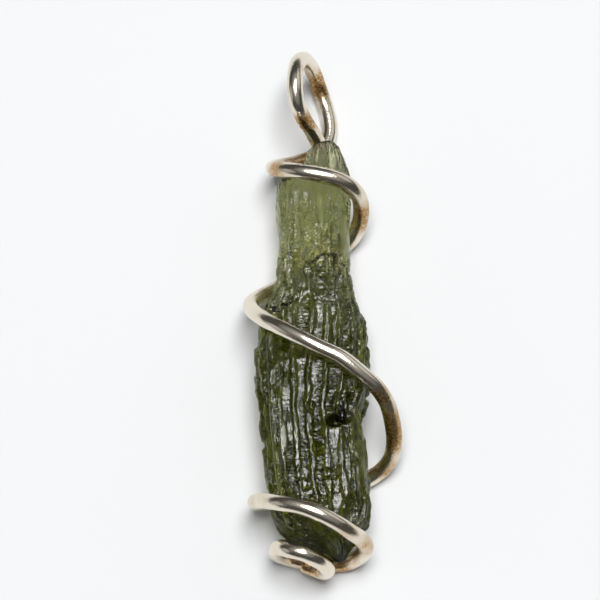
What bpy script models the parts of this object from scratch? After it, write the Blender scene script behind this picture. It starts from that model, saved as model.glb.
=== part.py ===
"""Moldavite pendant: a natural splinter of moldavite held in one hand-bent silver wire.

The pendant lies on its back. +Z is up, +Y runs along the stone towards the bail and +X is to the
right seen from above. The origin is the bottom centre of the box round the whole pendant.
Lengths are written in millimetres and turned into metres where the meshes are made.
"""

import bmesh
import bpy
import numpy as np

MM = 0.001

# Wire
WIRE_RADIUS = 0.51
POINT_SPACING = 0.55
BEVEL_STEPS = 2

# The wire's route, from the end tucked in at the foot to the end tucked in behind the tip
WIRE_ROUTE = (
    # tucked end
    (-1.25, -15.95, 1.62), (-0.65, -16.20, 1.62), (-0.05, -16.50, 1.90), (0.25, -16.60, 2.55),
    # small coil at the foot
    (0.15, -16.50, 3.35), (-0.35, -16.30, 4.10), (-1.15, -16.00, 4.55), (-2.00, -15.75, 4.40),
    (-2.60, -15.45, 3.70), (-2.85, -15.35, 2.60), (-2.75, -15.35, 1.60), (-2.15, -15.40, 0.80),
    # under the foot
    (-1.10, -15.55, 0.48), (0.40, -15.70, 0.46), (1.50, -15.70, 0.80), (2.30, -15.50, 1.75),
    # third turn
    (2.60, -15.30, 3.20), (2.25, -15.10, 4.60), (1.65, -14.90, 5.50), (0.90, -14.55, 6.15),
    (-0.20, -14.05, 6.60), (-1.40, -13.60, 6.60), (-2.65, -13.25, 6.15), (-3.60, -12.85, 5.00),
    (-4.10, -12.50, 3.40), (-3.95, -12.20, 1.90), (-3.25, -11.90, 0.90),
    # behind the stone, between the third turn and the second
    (-2.00, -11.65, 0.48), (-0.15, -11.25, 0.46), (1.70, -10.75, 0.46), (2.90, -10.30, 0.65),
    # second turn
    (3.70, -9.85, 1.10), (4.25, -9.25, 1.90), (4.40, -8.45, 2.95), (4.25, -7.50, 3.95),
    (3.90, -6.60, 4.90), (3.25, -5.85, 5.70), (2.30, -5.15, 6.30), (1.05, -4.25, 6.70),
    (-0.20, -3.65, 6.80), (-1.40, -3.00, 6.75), (-2.70, -2.20, 6.40), (-3.80, -1.30, 5.45),
    (-4.35, -0.35, 4.00), (-4.40, 0.50, 2.75), (-3.75, 1.35, 1.55),
    # behind the stone, between the second turn and the first
    (-2.50, 2.35, 0.70), (-0.80, 3.65, 0.46), (0.75, 4.60, 0.48),
    # first turn
    (1.65, 5.10, 0.95), (2.10, 5.50, 1.60), (2.40, 6.05, 2.50), (2.45, 6.65, 3.40),
    (2.25, 7.05, 4.30), (1.75, 7.40, 5.00), (0.95, 7.70, 5.50), (-0.15, 7.95, 5.70),
    (-1.40, 8.20, 5.60), (-2.45, 8.55, 5.00), (-3.05, 9.10, 3.70), (-2.95, 9.65, 2.40),
    (-2.25, 10.20, 1.30),
    # behind the tip
    (-1.25, 10.70, 0.70), (-0.40, 11.15, 0.52), (0.20, 11.80, 0.50),
    # bail
    (0.50, 12.70, 0.46), (0.45, 13.70, 0.46), (0.20, 14.70, 0.50), (-0.15, 15.60, 0.90),
    (-0.45, 16.20, 1.70), (-0.80, 16.50, 2.80), (-1.20, 16.35, 4.10), (-1.55, 15.60, 5.20),
    (-1.70, 14.55, 5.75), (-1.70, 13.60, 5.75), (-1.55, 12.80, 5.35), (-1.20, 12.20, 4.55),
    (-0.80, 11.85, 3.65), (-0.45, 11.55, 2.80), (-0.12, 11.15, 2.15), (0.15, 10.65, 1.85),
    (0.35, 10.15, 1.78),
)

# Stone: its outline seen from above, as (y, x) corners from the tip to the foot
LEFT_EDGE = (
    (11.15, 0.15), (10.95, -0.35), (10.80, -0.80), (10.20, -1.00), (9.50, -1.20), (9.00, -1.65),
    (8.65, -2.40), (8.40, -2.95), (7.15, -3.00), (5.95, -2.95), (4.50, -2.70), (2.85, -2.90),
    (1.20, -3.15), (0.00, -3.75), (-1.05, -4.05), (-2.75, -4.40), (-5.45, -4.25), (-7.25, -4.05),
    (-9.15, -3.85), (-11.40, -3.55), (-13.10, -3.30), (-13.85, -3.10), (-14.40, -2.70),
    (-14.85, -2.20), (-15.20, -1.50), (-15.40, -0.70), (-15.70, 0.10), (-16.15, 0.80),
)
RIGHT_EDGE = (
    (11.15, 0.90), (10.65, 1.25), (9.70, 1.60), (8.65, 1.90), (7.15, 1.90), (5.15, 1.75),
    (3.05, 1.80), (1.20, 2.05), (0.00, 2.40), (-1.10, 2.85), (-2.40, 3.05), (-4.05, 3.05),
    (-5.95, 3.00), (-7.10, 2.65), (-8.40, 2.75), (-9.80, 2.90), (-11.70, 3.00), (-12.95, 3.20),
    (-13.85, 3.05), (-14.40, 2.60), (-15.35, 1.85), (-16.15, 1.30),
)

# Stone: the heights of its front and back, as (y, z) corners from the tip to the foot
FRONT_EDGE = (
    (11.15, 4.00), (10.00, 4.60), (8.50, 4.95), (6.00, 5.05), (4.00, 5.10), (3.30, 5.20),
    (2.60, 5.80), (0.00, 6.10), (-4.00, 6.15), (-9.00, 6.15), (-12.50, 6.00), (-13.50, 5.80),
    (-14.50, 5.20), (-15.40, 4.30), (-16.15, 3.40),
)
BACK_EDGE = (
    (11.15, 2.80), (10.00, 2.40), (9.00, 1.80), (7.50, 1.25), (5.00, 1.08), (-12.00, 1.08),
    (-14.50, 1.20), (-15.40, 1.50), (-16.15, 2.10),
)

# Stone: how high its widest line lies, and how square its sections are in front and behind
SIDE_LEVEL = 0.40
FRONT_POWER = 2.1
BACK_POWER = 2.4

# Stone: how its two ends close, and how much closer its rings stand there
END_LENGTH = 0.7
END_POWER = 2.6
RING_CROWDING = 0.6
STONE_SEGMENTS = 56
STONE_RINGS = 52

# Stone: etched ribs, in a broad set and a narrow one that drift round it as they run along it
RIB_SETS = (
    {"count": 9, "depth": 0.12, "drift": 0.9, "wavelength": 11.0},
    {"count": 14, "depth": 0.10, "drift": -0.7, "wavelength": 6.5},
)

# Base plane, which leaves small worn flats on the lowest stretches of wire
FLAT_CUTTER_SIZE = (20.0, 50.0, 2.0)

STONE_COLOUR = (0.075, 0.100, 0.032, 1.0)
SILVER_COLOUR = (0.78, 0.72, 0.62, 1.0)


def clear_scene():
    """Remove every object that the scene starts with."""
    for old in list(bpy.data.objects):
        bpy.data.objects.remove(old, do_unlink=True)


def new_collection(name):
    """Add an empty collection to the scene."""
    collection = bpy.data.collections.new(name)
    bpy.context.scene.collection.children.link(collection)
    return collection


def principled(name, colour, roughness, metallic, transmission=0.0, ior=1.5):
    """Make a plain Principled material."""
    material = bpy.data.materials.new(name)
    material.use_nodes = True
    shader = material.node_tree.nodes["Principled BSDF"]
    shader.inputs["Base Color"].default_value = colour
    shader.inputs["Roughness"].default_value = roughness
    shader.inputs["Metallic"].default_value = metallic
    shader.inputs["Transmission Weight"].default_value = transmission
    shader.inputs["IOR"].default_value = ior
    return material


def smooth_route(corners, spacing):
    """Read evenly spaced points from a centripetal Catmull-Rom curve through the corners."""
    corners = np.array(corners)
    padded = np.vstack([2 * corners[0] - corners[1], corners, 2 * corners[-1] - corners[-2]])
    knots = np.concatenate([[0.0], np.cumsum(np.linalg.norm(np.diff(padded, axis=0), axis=1) ** 0.5)])
    fine = []
    for i in range(1, len(padded) - 2):
        p0, p1, p2, p3 = padded[i - 1:i + 3]
        t0, t1, t2, t3 = knots[i - 1:i + 3]
        t = np.linspace(t1, t2, 24, endpoint=False)[:, None]
        a1 = (t1 - t) / (t1 - t0) * p0 + (t - t0) / (t1 - t0) * p1
        a2 = (t2 - t) / (t2 - t1) * p1 + (t - t1) / (t2 - t1) * p2
        a3 = (t3 - t) / (t3 - t2) * p2 + (t - t2) / (t3 - t2) * p3
        b1 = (t2 - t) / (t2 - t0) * a1 + (t - t0) / (t2 - t0) * a2
        b2 = (t3 - t) / (t3 - t1) * a2 + (t - t1) / (t3 - t1) * a3
        fine.append((t2 - t) / (t2 - t1) * b1 + (t - t1) / (t2 - t1) * b2)
    fine = np.vstack(fine + [corners[-1:]])
    travelled = np.concatenate([[0.0], np.cumsum(np.linalg.norm(np.diff(fine, axis=0), axis=1))])
    stops = np.linspace(0.0, travelled[-1], int(round(travelled[-1] / spacing)) + 1)
    return np.stack([np.interp(stops, travelled, fine[:, axis]) for axis in range(3)], axis=1)


def read_edge(edge, y):
    """Read an edge's value at the places y, in a straight line from corner to corner."""
    table = np.array(edge)[::-1]
    return np.interp(y, table[:, 0], table[:, 1])


def furrow_depth(y, around):
    """Give the depth of the furrows between the ribs, in millimetres."""
    depth = 0.0
    for ribs in RIB_SETS:
        drift = ribs["drift"] * np.sin(2.0 * np.pi * y / ribs["wavelength"])
        depth = depth + ribs["depth"] * (0.5 - 0.5 * np.cos(ribs["count"] * around + drift))
    return depth


def stone_point(along, around):
    """Place points of the stone's skin, in millimetres.

    along goes from 0 at the tip to 1 at the foot, and around is the angle from +X towards +Z.
    A section is a superellipse between the four edges, drawn in by the furrows and by the
    rounding of the two ends.
    """
    top = LEFT_EDGE[0][0]
    bottom = LEFT_EDGE[-1][0]
    crowded = along - RING_CROWDING * np.sin(2.0 * np.pi * along) / (2.0 * np.pi)
    y = top + (bottom - top) * crowded
    to_end = np.clip(np.minimum(top - y, y - bottom) / END_LENGTH, 0.0, 1.0)
    closing = (1.0 - (1.0 - to_end) ** END_POWER) ** (1.0 / END_POWER)
    left, right = read_edge(LEFT_EDGE, y), read_edge(RIGHT_EDGE, y)
    back, front = read_edge(BACK_EDGE, y), read_edge(FRONT_EDGE, y)
    side = back + SIDE_LEVEL * (front - back)
    cos, sin = np.cos(around), np.sin(around)
    power = np.where(sin > 0.0, FRONT_POWER, BACK_POWER)
    unit_x = np.sign(cos) * np.abs(cos) ** (2.0 / power)
    unit_z = np.sign(sin) * np.abs(sin) ** (2.0 / power)
    furrow = furrow_depth(y, around)
    half_width = (right - left) / 2.0
    half_height = np.where(sin > 0.0, front - side, side - back)
    x = (left + right) / 2.0 + closing * unit_x * (half_width - furrow)
    z = side + closing * unit_z * (half_height - furrow)
    return x, y, z


def build_stone(collection):
    """Model the stone: a sphere whose rings are moved onto the stone's sections."""
    mesh = bpy.data.meshes.new("moldavite_stone")
    body = bmesh.new()
    bmesh.ops.create_uvsphere(body, u_segments=STONE_SEGMENTS, v_segments=STONE_RINGS, radius=1.0)
    sphere = np.array([vert.co[:] for vert in body.verts])
    along = np.arccos(np.clip(sphere[:, 2], -1.0, 1.0)) / np.pi
    around = np.arctan2(-sphere[:, 1], sphere[:, 0])
    x, y, z = stone_point(along, around)
    for vert, place in zip(body.verts, np.stack([x, y, z], axis=1) * MM):
        vert.co = place
    body.normal_update()
    body.to_mesh(mesh)
    body.free()
    mesh.shade_smooth()
    stone = bpy.data.objects.new("moldavite_stone", mesh)
    mesh.materials.append(principled("moldavite_glass", STONE_COLOUR, 0.25, 0.0, 0.6, 1.49))
    collection.objects.link(stone)
    return stone


def build_wire_curve(collection):
    """Lay the wire: one round bevelled curve along the whole route, with square-cut ends."""
    curve = bpy.data.curves.new("wire_route", "CURVE")
    curve.dimensions = "3D"
    curve.bevel_depth = WIRE_RADIUS * MM
    curve.bevel_resolution = BEVEL_STEPS
    curve.use_fill_caps = True
    places = smooth_route(WIRE_ROUTE, POINT_SPACING) * MM
    spline = curve.splines.new("POLY")
    spline.points.add(len(places) - 1)
    spline.points.foreach_set("co", np.hstack([places, np.ones((len(places), 1))]).ravel())
    wire = bpy.data.objects.new("wire_route", curve)
    collection.objects.link(wire)
    return wire


def curve_to_solid(curve_object, name, collection):
    """Turn a bevelled curve into one closed mesh object and remove the curve."""
    bpy.context.view_layer.update()
    graph = bpy.context.evaluated_depsgraph_get()
    mesh = bpy.data.meshes.new_from_object(curve_object.evaluated_get(graph))
    body = bmesh.new()
    body.from_mesh(mesh)
    bmesh.ops.remove_doubles(body, verts=body.verts, dist=0.01 * MM)
    bmesh.ops.recalc_face_normals(body, faces=body.faces)
    body.to_mesh(mesh)
    body.free()
    solid = bpy.data.objects.new(name, mesh)
    solid.matrix_world = curve_object.matrix_world
    collection.objects.link(solid)
    bpy.data.objects.remove(curve_object, do_unlink=True)
    return solid


def cut_base_flats(wire, cutters):
    """Cut the wire along the base plane, where its lowest stretches are worn flat."""
    bpy.ops.mesh.primitive_cube_add(size=1.0, location=(0.0, 0.0, -FLAT_CUTTER_SIZE[2] / 2 * MM))
    cutter = bpy.context.object
    cutter.name = "base_plane_cutter"
    cutter.scale = [size * MM for size in FLAT_CUTTER_SIZE]
    cutter.display_type = "WIRE"
    cutter.hide_render = True
    for home in list(cutter.users_collection):
        home.objects.unlink(cutter)
    cutters.objects.link(cutter)
    flats = wire.modifiers.new("base_flats", "BOOLEAN")
    flats.operation = "DIFFERENCE"
    flats.solver = "EXACT"
    flats.object = cutter


def main():
    """Build the pendant."""
    clear_scene()
    parts = new_collection("moldavite_pendant")
    cutters = new_collection("cutters")
    build_stone(parts)
    wire = curve_to_solid(build_wire_curve(parts), "silver_wire_wrap", parts)
    wire.data.materials.append(principled("tarnished_silver", SILVER_COLOUR, 0.22, 1.0))
    wire.data.shade_smooth()
    cut_base_flats(wire, cutters)


if __name__ == "__main__":
    main()
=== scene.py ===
"""Moldavite pendant: the finished stone and its silver wire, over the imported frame.

The stone is one sheet of points, a function of the way along it and the way around it, with its
etched furrows, notches, pits and shelf cut into it. The wire is a round profile carried along
its route. Lengths are in millimetres, up to where a mesh, light or camera is made.
"""

import logging
import math
from dataclasses import dataclass

import bpy
import numpy as np
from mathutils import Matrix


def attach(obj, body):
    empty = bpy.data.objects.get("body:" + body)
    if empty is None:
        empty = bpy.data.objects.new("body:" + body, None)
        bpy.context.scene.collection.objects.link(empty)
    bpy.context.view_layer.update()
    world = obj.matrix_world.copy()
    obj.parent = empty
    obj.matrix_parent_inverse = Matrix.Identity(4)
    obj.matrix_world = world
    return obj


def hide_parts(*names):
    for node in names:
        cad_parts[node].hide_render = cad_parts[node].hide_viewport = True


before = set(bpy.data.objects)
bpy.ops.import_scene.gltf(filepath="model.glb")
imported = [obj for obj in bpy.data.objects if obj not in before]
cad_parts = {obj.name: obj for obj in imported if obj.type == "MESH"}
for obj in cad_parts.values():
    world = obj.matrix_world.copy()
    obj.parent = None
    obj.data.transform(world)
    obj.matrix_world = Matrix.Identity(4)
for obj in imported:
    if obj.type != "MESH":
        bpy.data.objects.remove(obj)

MM = 0.001
LOG = logging.getLogger("pendant")
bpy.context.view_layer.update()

Pair = tuple[float, float]
Edge = tuple[Pair, ...]
Triple = tuple[float, float, float]
Socket = bpy.types.NodeSocket
Tree = bpy.types.NodeTree

# The stone's outline seen from above, as (y, x) corners from the tip to the foot
LEFT_EDGE: Edge = (
    (11.15, 0.15), (10.95, -0.35), (10.80, -0.80), (10.20, -1.00), (9.50, -1.20), (9.00, -1.65),
    (8.65, -2.40), (8.40, -2.95), (7.15, -3.00), (5.95, -2.95), (4.50, -2.70), (2.85, -2.90),
    (1.20, -3.15), (0.00, -3.75), (-1.05, -4.05), (-2.75, -4.40), (-5.45, -4.25), (-7.25, -4.05),
    (-9.15, -3.85), (-11.40, -3.55), (-13.10, -3.30), (-13.85, -3.10), (-14.40, -2.70),
    (-14.85, -2.20), (-15.20, -1.50), (-15.40, -0.70), (-15.70, 0.10), (-16.15, 0.80),
)
RIGHT_EDGE: Edge = (
    (11.15, 0.90), (10.65, 1.25), (9.70, 1.60), (8.65, 1.90), (7.15, 1.90), (5.15, 1.75),
    (3.05, 1.80), (1.20, 2.05), (0.00, 2.40), (-1.10, 2.85), (-2.40, 3.05), (-4.05, 3.05),
    (-5.95, 3.00), (-7.10, 2.65), (-8.40, 2.75), (-9.80, 2.90), (-11.70, 3.00), (-12.95, 3.20),
    (-13.85, 3.05), (-14.40, 2.60), (-15.35, 1.85), (-16.15, 1.30),
)

# The heights of its back, of its thick body and of the thinner shelf towards the tip, as (y, z)
BACK_EDGE: Edge = (
    (11.15, 2.80), (10.00, 2.40), (9.00, 1.80), (7.50, 1.25), (5.00, 1.08), (-12.00, 1.08),
    (-14.50, 1.20), (-15.40, 1.50), (-16.15, 2.10),
)
BODY_FRONT: Edge = (
    (11.15, 4.60), (4.50, 5.75), (2.60, 5.90), (0.00, 6.10), (-4.00, 6.15), (-9.00, 6.15),
    (-12.50, 6.00), (-13.50, 5.86), (-14.50, 5.56), (-15.20, 5.15), (-15.60, 4.45), (-15.85, 3.60),
    (-16.15, 3.00),
)
SHELF_FRONT: Edge = (
    (11.15, 3.90), (10.00, 4.45), (8.50, 4.74), (6.00, 4.95), (4.00, 5.15), (1.00, 5.45),
    (-1.50, 5.65), (-16.15, 5.65),
)

# How many times its height the front would rise, were it not planed flat, as (y, ratio)
FRONT_CROWN: Edge = (
    (11.15, 1.00), (8.10, 1.00), (7.00, 1.40), (3.50, 1.45), (1.50, 1.15), (-0.80, 1.10),
    (-1.80, 1.05), (-3.40, 1.06), (-5.00, 1.15), (-7.00, 1.26), (-11.50, 1.26), (-13.20, 1.06),
    (-16.15, 1.00),
)

# The jagged line where the shelf steps up to the body, as (x, y) corners from left to right
SHELF_LINE: Edge = (
    (-4.50, -0.80), (-3.74, -0.57), (-2.63, -0.18), (-1.83, 0.34), (-1.40, 1.45), (-1.21, 2.30),
    (-0.47, 2.62), (0.15, 3.02), (0.96, 3.02), (1.14, 2.30), (1.51, 1.38), (1.81, 0.47),
    (2.43, -0.18), (3.30, -0.90),
)

# The wire's route, from the end tucked in at the foot to the end tucked in behind the tip
WIRE_ROUTE: tuple[Triple, ...] = (
    # tucked end
    (-1.25, -15.95, 1.62), (-0.65, -16.20, 1.62), (-0.05, -16.50, 1.90), (0.25, -16.60, 2.55),
    # small coil at the foot
    (0.15, -16.50, 3.35), (-0.35, -16.30, 4.10), (-1.15, -16.00, 4.55), (-2.00, -15.75, 4.40),
    (-2.60, -15.45, 3.70), (-2.85, -15.35, 2.60), (-2.75, -15.35, 1.60), (-2.15, -15.40, 0.80),
    # under the foot
    (-1.10, -15.55, 0.48), (0.40, -15.70, 0.46), (1.50, -15.70, 0.80), (2.30, -15.50, 1.75),
    # third turn
    (2.60, -15.30, 3.20), (2.25, -15.10, 4.60), (1.65, -14.90, 5.50), (0.90, -14.55, 6.15),
    (-0.20, -14.05, 6.60), (-1.40, -13.60, 6.60), (-2.65, -13.25, 6.15), (-3.60, -12.85, 5.00),
    (-4.10, -12.50, 3.40), (-3.95, -12.20, 1.90), (-3.25, -11.90, 0.90),
    # behind the stone, between the third turn and the second
    (-2.00, -11.65, 0.48), (-0.15, -11.25, 0.46), (1.70, -10.75, 0.46), (2.90, -10.30, 0.65),
    # second turn
    (3.70, -9.85, 1.10), (4.25, -9.25, 1.90), (4.40, -8.45, 2.95), (4.25, -7.50, 3.95),
    (3.90, -6.60, 4.90), (3.25, -5.85, 5.70), (2.30, -5.15, 6.30), (1.05, -4.25, 6.70),
    (-0.20, -3.65, 6.80), (-1.40, -3.00, 6.75), (-2.70, -2.20, 6.40), (-3.80, -1.30, 5.45),
    (-4.35, -0.35, 4.00), (-4.40, 0.50, 2.75), (-3.75, 1.35, 1.55),
    # behind the stone, between the second turn and the first
    (-2.50, 2.35, 0.70), (-0.80, 3.65, 0.46), (0.75, 4.60, 0.48),
    # first turn
    (1.65, 5.10, 0.95), (2.10, 5.50, 1.60), (2.40, 6.05, 2.50), (2.45, 6.65, 3.40),
    (2.25, 7.05, 4.30), (1.75, 7.40, 5.00), (0.95, 7.70, 5.50), (-0.15, 7.95, 5.70),
    (-1.40, 8.20, 5.60), (-2.45, 8.55, 5.00), (-3.05, 9.10, 3.70), (-2.95, 9.65, 2.40),
    (-2.25, 10.20, 1.30),
    # behind the tip
    (-1.25, 10.70, 0.70), (-0.40, 11.15, 0.52), (0.20, 11.80, 0.50),
    # bail
    (0.50, 12.70, 0.46), (0.45, 13.70, 0.46), (0.20, 14.70, 0.50), (-0.15, 15.60, 0.90),
    (-0.45, 16.20, 1.70), (-0.80, 16.50, 2.80), (-1.20, 16.35, 4.10), (-1.55, 15.60, 5.20),
    (-1.70, 14.55, 5.75), (-1.70, 13.60, 5.75), (-1.55, 12.80, 5.35), (-1.20, 12.20, 4.55),
    (-0.80, 11.85, 3.65), (-0.45, 11.55, 2.80), (-0.12, 11.15, 2.15), (0.15, 10.65, 1.85),
    (0.35, 10.15, 1.78),
)


def linear(hex_colour: str, alpha: float = 1.0) -> tuple[float, float, float, float]:
    """Turn an sRGB hex colour into a linear one.

    Args:
        hex_colour: six hex digits after a hash sign.
        alpha: the opacity, from 0 to 1.

    Returns:
        Red, green, blue and alpha.
    """
    channels = [int(hex_colour[i:i + 2], 16) / 255.0 for i in (1, 3, 5)]
    light = [c / 12.92 if c <= 0.04045 else ((c + 0.055) / 1.055) ** 2.4 for c in channels]
    return (light[0], light[1], light[2], alpha)


def read_edge(edge: Edge, at: np.ndarray) -> np.ndarray:
    """Read an edge's second value at places of its first, in straight lines between corners.

    Args:
        edge: the corners, in rising or falling order of the first value.
        at: the places to read.

    Returns:
        The second values there.
    """
    table = np.array(edge)
    if table[0, 0] > table[-1, 0]:
        table = table[::-1]
    return np.interp(at, table[:, 0], table[:, 1])


def ramp(value: np.ndarray, low: float, high: float) -> np.ndarray:
    """Rise smoothly from 0 at low to 1 at high, with level ends."""
    t = np.clip((value - low) / (high - low), 0.0, 1.0)
    return t * t * (3.0 - 2.0 * t)


@dataclass(frozen=True)
class LatticeNoise:
    """Smooth noise from random numbers on a lattice of cells, the same each run.

    Its fields are its seed, its cells to the millimetre along x, y and z, how many octaves are
    added, what their sum is multiplied by, how far it is shifted, in cells, and how far each
    octave is shifted from the last.
    """

    seed: int
    per_mm: Triple = (1.0, 1.0, 1.0)
    octaves: int = 1
    size: float = 1.0
    shift: float = 0.0
    octave_shift: float = 17.3

    def scatter(self, cells: np.ndarray, salt: int = 0) -> np.ndarray:
        """Give each cell a number from 0 to 1.

        The three whole-number coordinates are multiplied by large odd numbers, joined, and
        stirred by shifts and products, which leaves no visible order.

        Args:
            cells: whole-number coordinates, the last axis being x, y and z.
            salt: a number that picks another set of random numbers.

        Returns:
            One number for each cell.
        """
        c = cells.astype(np.int64).astype(np.uint32)
        h = c[..., 0] * np.uint32(0x8DA6B343)
        h ^= c[..., 1] * np.uint32(0xD8163841)
        h ^= c[..., 2] * np.uint32(0xCB1AB31F)
        h ^= np.uint32((self.seed * 7919 + salt * 104729) & 0xFFFFFFFF)
        h = (h ^ (h >> np.uint32(15))) * np.uint32(0x2C1B3C6D)
        h = (h ^ (h >> np.uint32(12))) * np.uint32(0x297A2D39)
        h ^= h >> np.uint32(15)
        return h / 4294967296.0

    def smooth(self, points: np.ndarray) -> np.ndarray:
        """Blend the numbers of the eight cell corners round each point, from -1 to 1.

        Args:
            points: places measured in cells, the last axis being x, y and z.

        Returns:
            One value for each point.
        """
        base = np.floor(points)
        t = points - base
        t = t * t * t * (t * (t * 6.0 - 15.0) + 10.0)
        total = np.zeros(points.shape[:-1])
        for corner in np.ndindex(2, 2, 2):
            weight = np.prod(np.where(corner, t, 1.0 - t), axis=-1)
            total += weight * self.scatter(base + np.array(corner))
        return 2.0 * total - 1.0

    def at(self, points: np.ndarray) -> np.ndarray:
        """Add octaves of smooth noise, each twice as fine and half as strong as the last.

        Args:
            points: places in millimetres, the last axis being x, y and z.

        Returns:
            One value for each point.
        """
        cells = points * np.array(self.per_mm) + self.shift
        total = np.zeros(cells.shape[:-1])
        for octave in range(self.octaves):
            total += self.smooth(cells * 2.0 ** octave + self.octave_shift * octave) * 0.5 ** octave
        return self.size * total

    def nearest(self, points: np.ndarray) -> np.ndarray:
        """Measure how far each point is from the nearest of one random seed in every cell.

        Args:
            points: places measured in cells, the last axis being x, y and z.

        Returns:
            The distance, in cells.
        """
        base = np.floor(points)
        best = np.full(points.shape[:-1], np.inf)
        for step in np.ndindex(3, 3, 3):
            cell = base + np.array(step) - 1.0
            seed = np.stack([self.scatter(cell, salt) for salt in (1, 2, 3)], axis=-1)
            best = np.minimum(best, np.sum((cell + seed - points) ** 2, axis=-1))
        return np.sqrt(best)


@dataclass(frozen=True)
class Patch:
    """An oval place on the stone's front, seen from above, its depth and its clay and painted shade."""

    x: float
    y: float
    half_length: float
    half_width: float
    turn: float = 0.0
    depth: float = 0.0
    clay_and_shade: float = 0.0

    def inside(self, x: np.ndarray, y: np.ndarray) -> np.ndarray:
        """Give 1 at the patch's middle, falling as a bowl does to 0 at its rim and beyond.

        The place is turned into the patch's own axes and divided by its half sizes, and the
        bowl is one less the square of the distance.

        Args:
            x: places across the stone.
            y: places along the stone.

        Returns:
            The depth of the bowl, from 0 to 1.
        """
        angle = math.radians(self.turn)
        dx, dy = x - self.x, y - self.y
        along = (dy * math.cos(angle) + dx * math.sin(angle)) / self.half_length
        across = (dx * math.cos(angle) - dy * math.sin(angle)) / self.half_width
        return np.clip(1.0 - along ** 2 - across ** 2, 0.0, 1.0)


def new_piece(name: str, points: np.ndarray, faces: np.ndarray) -> bpy.types.Object:
    """Make a mesh object at the origin.

    Args:
        name: the object's name.
        points: its points, in millimetres, one a row.
        faces: its faces, four corners a row, where a triangle repeats its last corner.

    Returns:
        The object, linked to the scene.
    """
    mesh = bpy.data.meshes.new(name)
    triangle = faces[:, 2] == faces[:, 3]
    corners = np.where(triangle, 3, 4)
    keep = np.arange(4)[None, :] < corners[:, None]
    mesh.vertices.add(len(points))
    mesh.vertices.foreach_set("co", (points * MM).ravel())
    mesh.loops.add(int(corners.sum()))
    mesh.loops.foreach_set("vertex_index", faces[keep])
    mesh.polygons.add(len(faces))
    mesh.polygons.foreach_set("loop_start", np.concatenate([[0], np.cumsum(corners)[:-1]]))
    mesh.update(calc_edges=True)
    mesh.validate()
    mesh.shade_smooth()
    piece = bpy.data.objects.new(name, mesh)
    bpy.context.scene.collection.objects.link(piece)
    return piece


def closed_tube_faces(rings: int, sides: int) -> np.ndarray:
    """Join rings of points into a closed skin with a pole point at each end.

    Ring r's points are numbered r times the sides onwards, each ring is joined to the next by
    quads, and the first and last rings to the two pole points that follow the rings.

    Args:
        rings: how many rings there are.
        sides: how many points a ring has.

    Returns:
        The faces, four corners a row, where a triangle repeats its last corner.
    """
    ring = np.arange(rings - 1)[:, None] * sides
    side = np.arange(sides)[None, :]
    after = (side + 1) % sides
    skin = np.stack([ring + side, ring + after, ring + sides + after, ring + sides + side], axis=-1)
    side, after = side[0], after[0]
    first, last = rings * sides, rings * sides + 1
    end = (rings - 1) * sides
    start_cap = np.stack([after, side, np.full(sides, first), np.full(sides, first)], axis=-1)
    end_cap = np.stack([end + side, end + after, np.full(sides, last), np.full(sides, last)], axis=-1)
    return np.concatenate([skin.reshape(-1, 4), start_cap, end_cap])


def add_node(tree: Tree, kind: str, settings: dict | None = None) -> bpy.types.Node:
    """Add a node with its settings and its incoming links.

    Args:
        tree: the node tree.
        kind: the node's type name.
        settings: by name, the node's attributes, and by name or number, its inputs. An input is
            given its value, or the output socket that it is joined to.

    Returns:
        The node.
    """
    node = tree.nodes.new(kind)
    for name, value in (settings or {}).items():
        if isinstance(value, Socket):
            tree.links.new(value, node.inputs[name])
        elif isinstance(name, str) and hasattr(node, name):
            setattr(node, name, value)
        else:
            node.inputs[name].default_value = value
    return node


def new_material(name: str) -> tuple[bpy.types.Material, Tree, bpy.types.Node]:
    """Make an empty node material with its output node.

    Args:
        name: the material's name.

    Returns:
        The material, its node tree and its output node.
    """
    material = bpy.data.materials.new(name)
    material.use_nodes = True
    tree = material.node_tree
    tree.nodes.clear()
    return material, tree, add_node(tree, "ShaderNodeOutputMaterial")


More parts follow.
